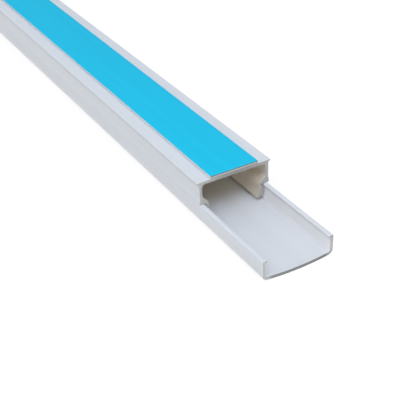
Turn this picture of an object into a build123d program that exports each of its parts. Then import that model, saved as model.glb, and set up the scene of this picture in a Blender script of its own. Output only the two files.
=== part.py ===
from build123d import *
from math import acos, asin, degrees
import os

# Cord cover raceway: a channel with an adhesive back and a cover that snaps onto its legs.
# It lies with its cover down, and the cover is drawn out a little at one end.
# X runs along the length, Y across, Z up from the surface that the cover lies on.
# The origin is under the middle of the whole part. All sizes are in millimetres.

# Stock
stock_length = 400.0
cover_draw = 34.55
body_width = 25.0
body_height = 16.0

# Channel back and its lips
web_thickness = 1.0
lip_reach = 0.75
lip_root = 0.75
lip_tip = 0.3
lip_edge_round = 0.1
lip_root_round = 0.3

# Channel walls, a little outside the cover's with a slight toe above it, and legs
wall_stand_out = 0.25
wall_thickness = 0.95
toe_reach = 0.2
toe_height = 1.0
toe_round = 1.5
wall_edge_round = 0.35
web_corner_round = 1.3
slot_depth = 1.0
barb_land = 1.6
barb_round = 0.15
nose_radius = 2.3
nose_flat = 0.5
nose_tip_round = 0.3
neck_thickness = 0.75
neck_drop = 1.1
neck_round = 2.0
ledge_rise = 0.35
ledge_round = 1.0

# Snap fit: the running gap wherever the cover and the channel face each other
snap_clearance = 0.15

# Cover
cover_height = 7.6
cover_wall = 1.1
cover_floor = 1.1
cover_crown = 0.9
cover_corner_round = 1.8
cover_inner_round = 0.8
cover_edge_round = 0.3
bead_radius = 0.4
bead_reach = 0.45

# Adhesive strip
tape_width = 17.3
tape_thickness = 1.0
liner_thickness = 0.12

# Levels and half widths that the pieces share
cover_outer = body_width / 2
cover_inner = cover_outer - cover_wall
wall_outer = cover_outer + wall_stand_out
wall_inner = wall_outer - wall_thickness
seat_level = cover_height + snap_clearance
bead_across = cover_inner - bead_reach + bead_radius
bead_level = cover_height - bead_radius

# Ends along the length: the cover stands out at the +X end and falls short at the -X end
whole_length = stock_length + cover_draw
channel_start = -whole_length / 2
cover_start = channel_start + cover_draw


def rounded(face, across, level, radius):
    """Round the profile's corner that lies at the given place."""
    corner = face.vertices().sort_by_distance((across, level))[0]
    return fillet(corner, radius)


def both_sides(half):
    """The whole profile, from the half on the +Y side."""
    return half + mirror(half, about=Plane.YZ)


def stock(profile, start):
    """A length of the profile, from the given X."""
    return extrude(Plane.YZ.offset(start) * profile, amount=stock_length)


def channel_profile():
    """Web with lips, walls, and the legs that the cover snaps onto."""
    lip_end = wall_outer + lip_reach
    lip_edge = min(lip_edge_round, 0.45 * lip_tip)

    # The slot behind the barb takes the cover's bead at the running gap, with some room at its back
    slot_radius = bead_radius + snap_clearance
    shoulder_level = seat_level - 2 * slot_radius
    barb_outer = cover_inner - snap_clearance
    slot_back = barb_outer - slot_depth
    slot_middle = slot_back + slot_radius
    back = FilletPolyline(
        (0, body_height),
        (lip_end, body_height),
        (lip_end, body_height - lip_tip),
        (wall_outer, body_height - lip_root),
        (wall_outer, seat_level + 2 * toe_height),
        (wall_outer + toe_reach, seat_level + toe_height),
        (wall_outer + toe_reach, seat_level),
        (slot_middle, seat_level),
        radius=[lip_edge, lip_edge, lip_root_round, toe_round, toe_round, wall_edge_round],
    )
    slot = CenterArc((slot_middle, seat_level - slot_radius), slot_radius, 90, 180)

    # The barb ends in a round nose that spreads the cover as it is pressed on
    nose_level = shoulder_level - barb_land
    barb = FilletPolyline(
        (slot_middle, shoulder_level),
        (barb_outer, shoulder_level),
        (barb_outer, nose_level),
        radius=barb_round,
    )
    nose = CenterArc((barb_outer - nose_radius, nose_level), nose_radius, 0, -90)

    # The inside leans out from the nose to a thin neck, then steps out to the wall at 45 degrees
    nose_end = nose @ 1
    neck_inner = slot_back - neck_thickness
    ledge_level = seat_level + ledge_rise
    web_under = body_height - web_thickness
    inside = FilletPolyline(
        (nose_end.X, nose_end.Y),
        (nose_end.X - nose_flat, nose_end.Y),
        (neck_inner, shoulder_level - neck_drop),
        (neck_inner, ledge_level),
        (wall_inner, ledge_level + wall_inner - neck_inner),
        (wall_inner, web_under),
        (0, web_under),
        radius=[nose_tip_round, neck_round, ledge_round, ledge_round, web_corner_round],
    )
    middle = Line((0, web_under), (0, body_height))
    return both_sides(make_face([back, slot, barb, nose, inside, middle]))


def cover_profile():
    """Shallow U with a crowned face and a bead along the top of each wall."""
    crown_radius = (cover_outer**2 + cover_crown**2) / (2 * cover_crown)
    floor_radius = crown_radius - cover_floor
    crown_turn = degrees(asin(cover_outer / crown_radius))
    floor_turn = degrees(asin(cover_inner / floor_radius))
    face = CenterArc((0, crown_radius), crown_radius, 270, crown_turn)
    wall = Polyline(face @ 1, (cover_outer, cover_height), (bead_across, cover_height))
    bead_end = degrees(acos((cover_inner - bead_across) / bead_radius))
    bead = CenterArc((bead_across, bead_level), bead_radius, 90, 270 - bead_end)
    floor = CenterArc((0, crown_radius), floor_radius, 270, floor_turn)
    inner_wall = Line(bead @ 1, floor @ 1)
    middle = Line(floor @ 0, face @ 0)
    half = make_face([face, wall, bead, inner_wall, floor, middle])
    half = rounded(half, cover_outer, cover_crown, cover_corner_round)
    half = rounded(half, cover_outer, cover_height, cover_edge_round)
    half = rounded(half, cover_inner, (floor @ 1).Y, cover_inner_round)
    return both_sides(half)


def strip(thickness, level):
    """A flat strip of the tape's width along the channel's back."""
    profile = Pos(0, level) * Rectangle(tape_width, thickness, align=(Align.CENTER, Align.MIN))
    return stock(profile, channel_start)


pieces = {
    "base_channel": stock(channel_profile(), channel_start),
    "cover": stock(cover_profile(), cover_start),
    "adhesive_tape": strip(tape_thickness, body_height),
    "release_liner": strip(liner_thickness, body_height + tape_thickness),
}

os.makedirs("parts", exist_ok=True)
for name, solid in pieces.items():
    export_step(solid, f"parts/{name}.step")
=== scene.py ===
import math

import bmesh
import bpy
from mathutils import Matrix, Vector


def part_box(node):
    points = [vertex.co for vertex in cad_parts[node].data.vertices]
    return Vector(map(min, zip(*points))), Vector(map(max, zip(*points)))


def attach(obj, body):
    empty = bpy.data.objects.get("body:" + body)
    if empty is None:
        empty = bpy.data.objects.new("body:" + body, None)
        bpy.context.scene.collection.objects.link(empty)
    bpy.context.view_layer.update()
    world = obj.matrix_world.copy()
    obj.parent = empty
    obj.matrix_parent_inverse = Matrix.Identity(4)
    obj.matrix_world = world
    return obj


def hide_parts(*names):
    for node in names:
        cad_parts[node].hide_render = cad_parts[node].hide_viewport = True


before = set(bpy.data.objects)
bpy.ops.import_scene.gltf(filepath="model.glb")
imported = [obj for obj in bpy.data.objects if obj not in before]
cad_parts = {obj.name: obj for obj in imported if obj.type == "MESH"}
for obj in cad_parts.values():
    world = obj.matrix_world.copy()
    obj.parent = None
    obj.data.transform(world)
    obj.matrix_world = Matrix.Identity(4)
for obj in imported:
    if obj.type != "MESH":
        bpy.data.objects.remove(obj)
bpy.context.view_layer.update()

# Cord cover raceway, lying cover down with the cover drawn out at its +X end.
# Metres throughout: X along the length, Y across, Z up from the floor.
MM = 0.001

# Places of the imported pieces
channel_low, channel_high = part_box("base_channel")
cover_low, cover_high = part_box("cover")
tape_low, tape_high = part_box("adhesive_tape")
liner_low, liner_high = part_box("release_liner")

# Channel section
back_level = channel_high.z
lip_end = channel_high.y
web_thickness = 1.0 * MM
lip_reach = 0.75 * MM
lip_root = 0.75 * MM
lip_tip = 0.3 * MM
lip_edge_round = 0.1 * MM
lip_root_round = 0.3 * MM
wall_thickness = 0.95 * MM
wall_edge_round = 0.35 * MM
web_corner_round = 1.3 * MM
toe_reach = 0.2 * MM
toe_height = 1.0 * MM
toe_round = 1.5 * MM
slot_depth = 1.0 * MM
barb_land = 1.6 * MM
barb_round = 0.15 * MM
nose_radius = 2.3 * MM
nose_flat = 0.5 * MM
nose_tip_round = 0.3 * MM
neck_thickness = 0.75 * MM
neck_drop = 1.1 * MM
neck_round = 2.0 * MM
ledge_rise = 0.35 * MM
ledge_round = 1.0 * MM

# Running gap between the channel and the cover
snap_clearance = 0.15 * MM

# Cover section
cover_outer = cover_high.y
cover_height = cover_high.z
cover_wall = 1.1 * MM
cover_floor = 1.1 * MM
cover_crown = 0.9 * MM
cover_corner_round = 1.8 * MM
cover_inner_round = 0.8 * MM
cover_edge_round = 0.3 * MM
bead_radius = 0.4 * MM
bead_reach = 0.45 * MM

# Softened long edges of the tape and its liner
tape_edge_round = 0.12 * MM
liner_edge_round = 0.03 * MM

# Places that both sections share
cover_inner = cover_outer - cover_wall
wall_outer = lip_end - lip_reach
wall_inner = wall_outer - wall_thickness
web_under = back_level - web_thickness
seat_level = cover_height + snap_clearance
bead_across = cover_inner - bead_reach + bead_radius
bead_level = cover_height - bead_radius

# Mesh fineness
ARC_STEPS = 14
CORNER_STEPS = 6
CROWN_STEPS = 10
LENGTH_CUTS = 11
TAPE_CUTS = 199
SHARP_ANGLE = math.radians(32)

# Gap under which the two halves of a section join, and slack in telling which side a face is on
JOIN_GAP = 0.001 * MM
SLACK = 0.01 * MM

# How far light passes into the white plastic
see_through = {
    "Subsurface_Weight": 1.0,
    "Subsurface_Scale": 0.3 * MM,
    "Subsurface_Radius": (1.0, 1.0, 1.0),
}

# Values of noise between which its two colours mix
NOISE_LOW = 0.3
NOISE_HIGH = 0.7

# How much lighter the plastic's pale streaks are, and how much rougher its die lines
STREAK = 0.03
ROUGHER = 0.14

# Tints of the plastic by level: painted shade on the channel's walls under its lips and on the cover's walls
# under its beads, and a tint that takes the cover's floor back down towards the plain plastic, below the
# painted light of the cover's inside
untinted = (1.0, 1.0, 1.0)
# A grey share of the colour, for painted shade
painted_shade = (0.87, 0.87, 0.87)
# Tint that takes the cover's floor back down towards the plain plastic, below the painted light of its inner
# walls
floor_back_to_plain = (0.78, 0.805, 0.825)
# Painted shade on the walls just under the channel's lips
lip_shade_tints = [
    (back_level - 2.5 * MM, untinted),
    (back_level - 1.6 * MM, painted_shade),
    (back_level - 0.7 * MM, painted_shade),
    (back_level - 0.3 * MM, untinted),
]
# Tints of the cover's inside: its floor taken back down from the painted light, and painted shade on the
# walls under its beads
cover_tints = [
    (cover_floor + 0.5 * MM, floor_back_to_plain),
    (cover_floor + 1.1 * MM, untinted),
    (bead_level - 1.6 * MM, untinted),
    (bead_level - 1.0 * MM, painted_shade),
]

# Colours of the cut ends across Y, palest at the walls: painted shade, much darker than the plastic and
# darkest across the middle
channel_cut_shade = [
    (-lip_end, (0.345, 0.365, 0.395)),
    (-0.8 * wall_inner, (0.345, 0.365, 0.395)),
    (-0.4 * wall_inner, (0.25, 0.265, 0.285)),
    (0.4 * wall_inner, (0.23, 0.245, 0.265)),
    (0.8 * wall_inner, (0.265, 0.28, 0.315)),
    (lip_end, (0.315, 0.335, 0.375)),
]
cover_cut_shade = [
    (-cover_outer, (0.37, 0.40, 0.445)),
    (-0.95 * cover_inner, (0.335, 0.365, 0.41)),
    (-0.8 * cover_inner, (0.18, 0.195, 0.215)),
    (0.85 * cover_inner, (0.16, 0.175, 0.195)),
    (cover_inner, (0.33, 0.35, 0.38)),
    (cover_outer, (0.33, 0.35, 0.38)),
]

# Colours of the tape's cut end, by share of its thickness: painted shade darker than the foam's sides, with
# darker lines at its top and bottom
tape_cut_shade = [
    (0.05, (0.16, 0.165, 0.17)),
    (0.25, (0.38, 0.41, 0.44)),
    (0.6, (0.38, 0.41, 0.44)),
    (0.75, (0.10, 0.125, 0.15)),
]

# Studio: the floor's width, what the lamps face, and the sky's light from floor level (0) to overhead (1)
floor_width = 12.0
lamp_aim = Vector((0.1, 0.0, 0.0))
sky = [
    (0.0, (0.3, 0.3, 0.3)),
    (0.12, (0.10, 0.105, 0.11)),
    (1.0, (0.92, 0.945, 0.96)),
]

# Camera, from the photograph's vanishing lines
camera_place = Vector((386.415, -126.57, 162.37)) * MM
camera_aim = Vector((169.575, -5.31, 0.0)) * MM
camera_roll = math.radians(-2.255)
camera_lens = 81.14
camera_sensor = 36.0
camera_near = 0.01


class HalfSection:
    """Half a section, drawn in the YZ plane at one X by straight runs and arcs, with rounded corners."""

    def __init__(self, along, across, level):
        self.mesh = bmesh.new()
        self.along = along
        self.tip = self.mesh.verts.new((along, across, level))
        self.corners = []

    def run(self, across, level, round_to=0.0):
        """A straight run to a corner, which is rounded later."""
        reached = self.mesh.verts.new((self.along, across, level))
        self.mesh.edges.new((self.tip, reached))
        self.tip = reached
        if round_to:
            self.corners.append((reached, round_to))

    def swing(self, across, level, turn, steps):
        """An arc about a centre, positive from +Y towards +Z."""
        spun = bmesh.ops.spin(
            self.mesh,
            geom=[self.tip],
            cent=(self.along, across, level),
            axis=(1, 0, 0),
            angle=turn,
            steps=steps,
            use_merge=False,
        )
        self.tip = next(part for part in spun["geom_last"] if isinstance(part, bmesh.types.BMVert))

    def place(self):
        """Where the drawing has come to, across and up."""
        return self.tip.co.y, self.tip.co.z

    def round_corners(self):
        """Give each corner its radius."""
        for corner, radius in self.corners:
            first, second = (edge.other_vert(corner).co - corner.co for edge in corner.link_edges)
            turn = math.pi - first.angle(second)
            bmesh.ops.bevel(
                self.mesh,
                geom=[corner],
                offset=radius * math.tan(turn / 2),
                offset_type="OFFSET",
                segments=CORNER_STEPS,
                profile=0.5,
                affect="VERTICES",
                material=-1,
            )

    def stock(self, length, cuts):
        """Both halves of the section, filled and drawn out along X."""
        self.round_corners()
        shape = self.mesh
        bmesh.ops.mirror(shape, geom=shape.verts[:] + shape.edges[:], axis="Y", merge_dist=JOIN_GAP)
        bmesh.ops.edgeloop_fill(shape, edges=shape.edges[:])
        drawn = bmesh.ops.extrude_face_region(shape, geom=shape.faces[:])
        moved = [part for part in drawn["geom"] if isinstance(part, bmesh.types.BMVert)]
        bmesh.ops.translate(shape, verts=moved, vec=(length, 0, 0))
        long_edges = [edge for edge in shape.edges if edge.calc_length() > length / 2]
        bmesh.ops.subdivide_edges(shape, edges=long_edges, cuts=cuts)
        bmesh.ops.recalc_face_normals(shape, faces=shape.faces[:])
        return shape


def channel_shape():
    """Web with lips, walls, and necked legs with a slot, a barb and a round nose."""
    slot_radius = bead_radius + snap_clearance
    shoulder_level = seat_level - 2 * slot_radius
    barb_outer = cover_inner - snap_clearance
    slot_back = barb_outer - slot_depth
    slot_middle = slot_back + slot_radius
    nose_level = shoulder_level - barb_land
    neck_inner = slot_back - neck_thickness
    ledge_level = seat_level + ledge_rise
    half = HalfSection(channel_low.x, 0, back_level)
    half.run(lip_end, back_level, lip_edge_round)
    half.run(lip_end, back_level - lip_tip, lip_edge_round)
    half.run(wall_outer, back_level - lip_root, lip_root_round)
    half.run(wall_outer, seat_level + 2 * toe_height, toe_round)
    half.run(wall_outer + toe_reach, seat_level + toe_height, toe_round)
    half.run(wall_outer + toe_reach, seat_level, wall_edge_round)
    half.run(slot_middle, seat_level)
    half.swing(slot_middle, seat_level - slot_radius, math.pi, ARC_STEPS)
    half.run(barb_outer, shoulder_level, barb_round)
    half.run(barb_outer, nose_level)
    half.swing(barb_outer - nose_radius, nose_level, -math.pi / 2, ARC_STEPS)
    nose_across, nose_bottom = half.place()
    half.run(nose_across - nose_flat, nose_bottom, nose_tip_round)
    half.run(neck_inner, shoulder_level - neck_drop, neck_round)
    half.run(neck_inner, ledge_level, ledge_round)
    half.run(wall_inner, ledge_level + wall_inner - neck_inner, ledge_round)
    half.run(wall_inner, web_under, web_corner_round)
    half.run(0, web_under)
    return half.stock(channel_high.x - channel_low.x, LENGTH_CUTS)


def cover_shape():
    """Shallow U with a crowned face, round corners and a bead along the top of each wall."""
    crown_radius = (cover_outer**2 + cover_crown**2) / (2 * cover_crown)
    floor_radius = crown_radius - cover_floor
    bead_end = math.acos((cover_inner - bead_across) / bead_radius)

    # The arcs of the face and the floor end before the corners, which need straight runs to be rounded
    face_turn = math.asin((cover_outer - cover_corner_round) / crown_radius)
    floor_turn = math.asin((cover_inner - 1.5 * cover_inner_round) / floor_radius)
    half = HalfSection(cover_low.x, 0, 0)
    half.swing(0, crown_radius, face_turn, CROWN_STEPS)
    across, level = half.place()
    half.run(cover_outer, level + (cover_outer - across) * math.tan(face_turn), cover_corner_round)
    half.run(cover_outer, cover_height, cover_edge_round)
    half.run(bead_across, cover_height)
    half.swing(bead_across, bead_level, 1.5 * math.pi - bead_end, ARC_STEPS)
    floor_across = floor_radius * math.sin(floor_turn)
    floor_level = crown_radius - floor_radius * math.cos(floor_turn)
    corner_level = floor_level + (cover_inner - floor_across) * math.tan(floor_turn)
    half.run(cover_inner, corner_level, cover_inner_round)
    half.run(floor_across, floor_level)
    half.swing(0, crown_radius, -floor_turn, CROWN_STEPS)
    return half.stock(cover_high.x - cover_low.x, LENGTH_CUTS)


def strip_shape(low, high, edge_round):
    """A flat strip with softened long edges."""
    half = HalfSection(low.x, 0, high.z)
    half.run(high.y, high.z, edge_round)
    half.run(high.y, low.z, edge_round)
    half.run(0, low.z)
    return half.stock(high.x - low.x, TAPE_CUTS)


def is_cut(face):
    """Whether a face is one of the two cut ends."""
    return abs(face.normal.x) > 0.9


def is_in_cover(face):
    """Whether a face of the cover is its floor or the inner side of a wall."""
    middle = face.calc_center_median()
    looks_inwards = middle.y * face.normal.y < -0.5 * cover_inner
    looks_up = face.normal.z > 0.5
    under_beads = middle.z < bead_level - bead_radius
    return looks_inwards or (looks_up and under_beads)


def is_in_duct(face):
    """Whether a face of the channel looks into the duct."""
    middle = face.calc_center_median()
    between_walls = abs(middle.y) < wall_inner + SLACK
    under_web = middle.z < web_under + SLACK
    return between_walls and under_web and middle.y * face.normal.y <= 0


def add_piece(shape, name, body, node, finishes, is_inner=None):
    """A piece from a drawn-out shape, with finishes for its length, its cut ends and the faces inside it."""
    for face in shape.faces:
        if is_cut(face):
            face.material_index = 1
        elif is_inner and is_inner(face):
            face.material_index = 2
        face.smooth = not is_cut(face)
    mesh = bpy.data.meshes.new(name)
    shape.to_mesh(mesh)
    shape.free()
    mesh.set_sharp_from_angle(angle=SHARP_ANGLE)
    for finish in finishes:
        mesh.materials.append(finish)
    piece = bpy.data.objects.new(name, mesh)
    bpy.context.scene.collection.objects.link(piece)
    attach(piece, body)
    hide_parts(node)


def set_stops(ramp, stops):
    """Give a colour ramp its colours, each at its place from 0 to 1."""
    points = ramp.color_ramp.elements
    for index, (place, colour) in enumerate(stops):
        point = points[index] if index < 2 else points.new(place)
        point.position = place
        point.color = (*colour, 1.0)


class Finish:
    """A material on a Principled shader, with small helpers to add and join its nodes."""

    def __init__(self, name, **settings):
        self.material = bpy.data.materials.new(name)
        self.material.use_nodes = True
        self.tree = self.material.node_tree
        self.shader = self.tree.nodes["Principled BSDF"]
        for socket, value in settings.items():
            self.shader.inputs[socket.replace("_", " ")].default_value = value

    def add(self, kind, **settings):
        """A new node of a kind."""
        made = self.tree.nodes.new("ShaderNode" + kind)
        for name, value in settings.items():
            setattr(made, name, value)
        return made

    def join(self, source, target):
        """Join one node's output to another's input."""
        self.tree.links.new(source, target)

    def wear(self, socket, source):
        """Join an output to one of the shader's sockets."""
        self.join(source, self.shader.inputs[socket])

    def grain(self, scale, detail=2.0):
        """Noise on Object coordinates, with its own scale along X, Y and Z in features a metre."""
        place = self.add("TexCoord")
        mapping = self.add("Mapping")
        mapping.inputs["Scale"].default_value = scale
        texture = self.add("TexNoise")
        texture.inputs["Scale"].default_value = 1.0
        texture.inputs["Detail"].default_value = detail
        texture.inputs["Roughness"].default_value = 0.5
        self.join(place.outputs["Object"], mapping.inputs["Vector"])
        self.join(mapping.outputs["Vector"], texture.inputs["Vector"])
        return texture.outputs["Fac"]

    def along(self, axis, low, high):
        """How far a point lies between two places on an axis, from 0 to 1."""
        place = self.add("TexCoord")
        parts = self.add("SeparateXYZ")
        made = self.add("MapRange")
        made.inputs["From Min"].default_value = low
        made.inputs["From Max"].default_value = high
        self.join(place.outputs["Object"], parts.inputs["Vector"])
        self.join(parts.outputs[axis], made.inputs["Value"])
        return made.outputs["Result"]

    def span(self, source, low, high):
        """A value that runs from low to high as the source runs from 0 to 1."""
        made = self.add("MapRange")
        made.inputs["To Min"].default_value = low
        made.inputs["To Max"].default_value = high
        self.join(source, made.inputs["Value"])
        return made.outputs["Result"]

    def ramp(self, source, stops):
        """A colour that changes with the source, by stops from 0 to 1."""
        made = self.add("ValToRGB")
        set_stops(made, stops)
        self.join(source, made.inputs["Fac"])
        return made.outputs["Color"]

    def mottle(self, noise, dark, light):
        """Two colours mixed by noise."""
        return self.ramp(noise, [(NOISE_LOW, dark), (NOISE_HIGH, light)])

    def shade(self, axis, stops):
        """A colour that changes along an axis, by stops at places on it."""
        first, last = stops[0][0], stops[-1][0]
        shares = [((place - first) / (last - first), colour) for place, colour in stops]
        return self.ramp(self.along(axis, first, last), shares)

    def tint(self, colour, other):
        """A colour multiplied by another."""
        made = self.add("Mix", data_type="RGBA", blend_type="MULTIPLY")
        made.inputs["Factor"].default_value = 1.0
        self.join(colour, made.inputs["A"])
        self.join(other, made.inputs["B"])
        return made.outputs["Result"]

    def bump(self, source, height, strength, under=None):
        """Relief from the source, over another relief if there is one."""
        made = self.add("Bump")
        made.inputs["Distance"].default_value = height
        made.inputs["Strength"].default_value = strength
        self.join(source, made.inputs["Height"])
        if under:
            self.join(under, made.inputs["Normal"])
        return made.outputs["Normal"]


def grey(share):
    """A tint that leaves a share of the colour."""
    return (share, share, share)


def extruded_plastic(name, colour, roughness, tints=None):
    """Satin white plastic with faint die lines along the length, and tints by level where shade is painted.
    """
    finish = Finish(name, Specular_IOR_Level=0.15, **see_through)
    die_lines = finish.grain((5, 1500, 1500), detail=3.0)
    broad_streaks = finish.grain((3, 160, 160))
    skin = finish.grain((700, 700, 700), detail=3.0)
    pale = [value + STREAK for value in colour]
    streaked = finish.mottle(broad_streaks, colour, pale)
    if tints:
        streaked = finish.tint(streaked, finish.shade("Z", tints))
    finish.wear("Base Color", streaked)
    finish.wear("Roughness", finish.span(die_lines, roughness, roughness + ROUGHER))
    lines = finish.bump(die_lines, height=0.02 * MM, strength=0.25)
    finish.wear("Normal", finish.bump(skin, height=0.02 * MM, strength=0.15, under=lines))
    return finish.material


def sawn_plastic(name, stops):
    """Matt cut end with fine saw marks, in painted shade whose colour changes at places across Y."""
    finish = Finish(name, Specular_IOR_Level=0.3, **see_through)
    saw_marks = finish.grain((400, 500, 6000), detail=3.0)
    # Painted shade in the saw marks: darker where their relief is low
    marks = finish.mottle(saw_marks, grey(0.9), untinted)
    finish.wear("Base Color", finish.tint(finish.shade("Y", stops), marks))
    finish.wear("Roughness", finish.span(saw_marks, 0.55, 0.75))
    finish.wear("Normal", finish.bump(saw_marks, height=0.03 * MM, strength=0.4))
    return finish.material


def foam_finish(name):
    """Matt closed-cell foam without its colour, and the noise of its cells."""
    finish = Finish(name, Roughness=0.85, Specular_IOR_Level=0.2)
    cells = finish.grain((5000, 5000, 5000))
    finish.wear("Normal", finish.bump(cells, height=0.06 * MM, strength=0.6))
    return finish, cells


def white_foam():
    """White foam of the tape's long sides."""
    finish, _ = foam_finish("white_foam")
    patches = finish.grain((300, 300, 300))
    finish.wear("Base Color", finish.mottle(patches, (0.68, 0.69, 0.73), (0.73, 0.74, 0.78)))
    return finish.material


def cut_foam():
    """Cut end of the tape in painted shade, darker than its sides, with dark lines at its top and bottom."""
    finish, cells = foam_finish("cut_foam")
    end_bands = finish.ramp(finish.along("Z", tape_low.z, tape_high.z), tape_cut_shade)
    # Painted shade in the foam's cells: darker where their relief is low
    pit_shade = finish.mottle(cells, grey(0.85), untinted)
    finish.wear("Base Color", finish.tint(end_bands, pit_shade))
    return finish.material


def liner_film():
    """Blue release film with faint streaks and slack."""
    finish = Finish("blue_liner_film", Specular_IOR_Level=0.15)
    streaks = finish.grain((6, 350, 350))
    slack = finish.grain((40, 90, 90), detail=1.0)
    finish.wear("Base Color", finish.mottle(streaks, (0.005, 0.475, 0.71), (0.007, 0.51, 0.75)))
    finish.wear("Roughness", finish.span(streaks, 0.38, 0.5))
    finish.wear("Normal", finish.bump(slack, height=0.08 * MM, strength=0.3))
    return finish.material


def floor_paint():
    """Pale floor, lit a little from below as a light table is."""
    finish = Finish(
        "pale_floor",
        Roughness=0.9,
        Specular_IOR_Level=0.0,
        Emission_Color=(1.0, 1.0, 1.0, 1.0),
        Emission_Strength=0.8,
    )
    cloudy = finish.grain((3, 3, 3))
    finish.wear("Base Color", finish.mottle(cloudy, (0.21, 0.2, 0.19), (0.22, 0.21, 0.2)))
    return finish.material


def add_floor():
    """A wide plain floor under the part."""
    shape = bmesh.new()
    bmesh.ops.create_grid(shape, x_segments=1, y_segments=1, size=floor_width / 2)
    mesh = bpy.data.meshes.new("floor")
    shape.to_mesh(mesh)
    shape.free()
    mesh.materials.append(floor_paint())
    floor = bpy.data.objects.new("floor", mesh)
    bpy.context.scene.collection.objects.link(floor)


def add_sky():
    """Soft light all round, which changes with height."""
    world = bpy.data.worlds.new("studio")
    world.use_nodes = True
    nodes = world.node_tree.nodes
    links = world.node_tree.links
    direction = nodes.new("ShaderNodeTexCoord")
    parts = nodes.new("ShaderNodeSeparateXYZ")
    fade = nodes.new("ShaderNodeValToRGB")
    set_stops(fade, sky)
    links.new(direction.outputs["Generated"], parts.inputs["Vector"])
    links.new(parts.outputs["Z"], fade.inputs["Fac"])
    links.new(fade.outputs["Color"], nodes["Background"].inputs["Color"])
    bpy.context.scene.world = world


def add_softbox(name, place, width, depth, power, colour):
    """A lamp with a broad face, turned towards the part."""
    light = bpy.data.lights.new(name, "AREA")
    light.shape = "RECTANGLE"
    light.size = width
    light.size_y = depth
    light.energy = power
    light.color = colour
    lamp = bpy.data.objects.new(name, light)
    lamp.location = place
    lamp.rotation_euler = (lamp_aim - Vector(place)).to_track_quat("-Z", "Y").to_euler()
    bpy.context.scene.collection.objects.link(lamp)


def add_camera():
    """The camera, at the photograph's angle."""
    camera = bpy.data.cameras.new("camera")
    camera.sensor_width = camera_sensor
    camera.lens = camera_lens
    camera.clip_start = camera_near
    eye = bpy.data.objects.new("camera", camera)
    turn = (camera_aim - camera_place).to_track_quat("-Z", "Y").to_matrix()
    roll = Matrix.Rotation(camera_roll, 3, "Z")
    eye.matrix_world = Matrix.Translation(camera_place) @ (turn @ roll).to_4x4()
    bpy.context.scene.collection.objects.link(eye)
    bpy.context.scene.camera = eye


# Finishes
outside = extruded_plastic("extruded_white_plastic", (0.61, 0.63, 0.665), 0.42, lip_shade_tints)
# The duct's inside is a darker, warmer copy of the plastic: painted shade for the warm shade inside the duct
shaded_duct_side = extruded_plastic("duct_side_painted_shade_plastic", (0.57, 0.515, 0.44), 0.45)
# The cover's inside is a lighter copy of the plastic: painted light on its inner walls, with its floor
# tinted back down and painted shade under the beads
lit_cover_inside = extruded_plastic("cover_inside_painted_light_plastic", (0.76, 0.755, 0.775), 0.42, cover_tints)
channel_end = sawn_plastic("sawn_channel", channel_cut_shade)
cover_end = sawn_plastic("sawn_cover", cover_cut_shade)
tape_side = white_foam()
tape_end = cut_foam()
film = liner_film()

# Pieces
channel = channel_shape()
channel_finishes = [outside, channel_end, shaded_duct_side]
add_piece(channel, "channel", "base", "base_channel", channel_finishes, is_in_duct)
cover = cover_shape()
cover_finishes = [outside, cover_end, lit_cover_inside]
add_piece(cover, "snap_cover", "cover", "cover", cover_finishes, is_in_cover)
tape = strip_shape(tape_low, tape_high, tape_edge_round)
add_piece(tape, "foam_tape", "base", "adhesive_tape", [tape_side, tape_end])
liner = strip_shape(liner_low, liner_high, liner_edge_round)
add_piece(liner, "liner", "base", "release_liner", [film, film])

# Studio
add_floor()
add_sky()
add_softbox("key_softbox", (0.83, -0.38, 1.36), width=2.0, depth=0.5, power=15.8, colour=(0.74, 0.84, 1.0))
add_softbox("front_fill", (1.27, -0.16, 0.23), width=0.5, depth=0.3, power=6.8, colour=(1.0, 0.82, 0.52))
add_softbox("left_front_fill", (1.0, -0.9, 0.3), width=0.5, depth=0.3, power=1.65, colour=(0.72, 0.85, 1.0))
add_camera()
bpy.context.scene.view_settings.view_transform = "Standard"
